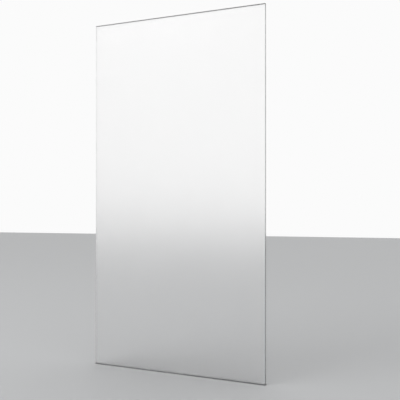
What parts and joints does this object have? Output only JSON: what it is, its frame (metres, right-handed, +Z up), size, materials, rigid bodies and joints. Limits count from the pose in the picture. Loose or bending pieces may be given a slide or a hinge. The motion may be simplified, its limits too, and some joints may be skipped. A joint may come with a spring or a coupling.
{
  "type": "glass screen",
  "caption": "Tall frameless satin-etched glass screen that stands upright out of the floor, clamped in a recessed aluminium base shoe.",
  "frame": {"origin": "middle of the separation pad's underside, which beds on the structural slab; the finished floor is at Z = 0.089 m", "axes": "+X along the pane, to the right as seen from the front; -Y out of the front face; +Z up"},
  "size_m": [0.612, 0.038, 1.249],
  "materials": {
    "etched_glass": "satin acid-etched outer face, polished flat-ground edges",
    "interlayer": "clear, trimmed back from the edge",
    "sealant": "mid grey, tooled smooth",
    "anodised_aluminium": "natural satin anodised",
    "stainless_steel": "plain machined",
    "cradle_plastic": "black, moulded",
    "wedge_plastic": "light grey, moulded",
    "black_rubber": "matt black, extruded"
  },
  "bodies": {
    "root": {"glass_lite_front": "etched_glass", "interlayer": "interlayer", "glass_lite_back": "etched_glass", "floor_joint_seal": "sealant", "base_shoe": "anodised_aluminium", "separation_pad": "black_rubber", "end_cap_left": "anodised_aluminium", "end_cap_right": "anodised_aluminium", "end_cap_screws": "stainless_steel", "cradle_left": "cradle_plastic", "cradle_middle": "cradle_plastic", "cradle_right": "cradle_plastic", "fixed_wedge_left": "wedge_plastic", "fixed_wedge_middle": "wedge_plastic", "fixed_wedge_right": "wedge_plastic", "drive_wedge_left": "wedge_plastic", "drive_wedge_middle": "wedge_plastic", "drive_wedge_right": "wedge_plastic", "front_gasket": "black_rubber", "back_gasket": "black_rubber"}
  },
  "joints": []
}
